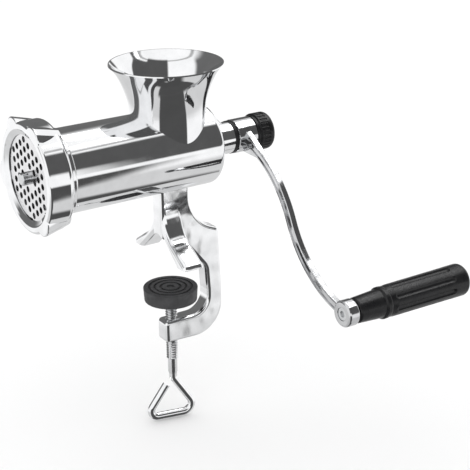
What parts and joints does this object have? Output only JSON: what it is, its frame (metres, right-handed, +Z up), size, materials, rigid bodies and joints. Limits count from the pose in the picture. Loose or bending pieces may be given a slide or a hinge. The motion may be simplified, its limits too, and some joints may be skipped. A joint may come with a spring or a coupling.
{
  "type": "hand crank meat grinder",
  "caption": "Table-clamped hand crank meat grinder with a flared hopper, barrel, worm, knife, perforated plate, ring nut, S-shaped crank and screw clamp.",
  "frame": {"origin": "on the clamp screw's axis, in the plane of the two jaw feet that stand on the table top", "axes": "+X along the barrel from the outlet towards the crank, +Z up out of the table, +Y across, away from the side the crank handle hangs on at rest"},
  "size_m": [0.2844, 0.187, 0.2823],
  "materials": {
    "polished_steel": "mirror-polished stainless steel",
    "plate_steel": "ground flat",
    "cast_steel": "tumbled casting",
    "plain_steel": "turned, plain",
    "screw_steel": "bright plated",
    "black_plastic": "satin moulded",
    "bush_plastic": "plain moulded",
    "pad_rubber": "matte moulded, grooved face",
    "brass_insert": "turned"
  },
  "bodies": {
    "frame": {"barrel": "polished_steel", "hopper": "polished_steel", "clamp_bracket": "polished_steel", "rear_bush": "bush_plastic", "plate_key": "plain_steel"},
    "plate": {"grinding_plate": "plate_steel"},
    "ring": {"ring_nut": "polished_steel"},
    "drive": {"auger": "cast_steel", "auger_stud": "plain_steel", "knife": "plate_steel", "thrust_washer": "bush_plastic"},
    "crank": {"crank_arm": "polished_steel"},
    "knob": {"thumb_knob": "black_plastic", "knob_stud": "plain_steel"},
    "handle": {"grip": "black_plastic", "grip_bolt": "plain_steel", "grip_insert": "brass_insert"},
    "pad": {"clamp_pad": "pad_rubber", "pad_cup": "plain_steel", "pad_retainer": "plain_steel"},
    "screw": {"clamp_screw": "screw_steel", "clamp_handle": "screw_steel"}
  },
  "joints": [
    {"name": "crank_turn", "type": "hinge", "parent": "frame", "child": "drive", "pos_m": [0.0016, 0, 0.081], "axis": [1, 0, 0], "continuous": true},
    {"name": "crank_pull", "type": "slide", "parent": "drive", "child": "crank", "axis": [1, 0, 0], "range_m": [0, 0.012]},
    {"name": "knob_unscrew", "type": "hinge", "parent": "crank", "child": "knob", "pos_m": [0.0786, 0, 0.081], "axis": [1, 0, 0], "range_deg": [0, 4320.5]},
    {"name": "handle_spin", "type": "hinge", "parent": "crank", "child": "handle", "pos_m": [0.1196, -0.132, -0.0148], "axis": [1, 0, 0], "continuous": true},
    {"name": "plate_out", "type": "slide", "parent": "frame", "child": "plate", "axis": [-1, 0, 0], "range_m": [0, 0.014]},
    {"name": "ring_unscrew", "type": "hinge", "parent": "plate", "child": "ring", "pos_m": [-0.1019, 0, 0.081], "axis": [-1, 0, 0], "range_deg": [0, 2016.5]},
    {"name": "pad_lift", "type": "slide", "parent": "frame", "child": "pad", "axis": [0, 0, 1], "range_m": [-0.012, 0.0155]},
    {"name": "screw_turn", "type": "hinge", "parent": "pad", "child": "screw", "pos_m": [0, 0, -0.0332], "axis": [0, 0, 1], "range_deg": [-2160.5, 2790.5]}
  ],
  "couplings": [
    {"joint": "knob_unscrew", "follows": "crank_pull", "rad_per_m": 6283.2},
    {"joint": "ring_unscrew", "follows": "plate_out", "rad_per_m": 2513.3},
    {"joint": "screw_turn", "follows": "pad_lift", "rad_per_m": 3141.6}
  ]
}
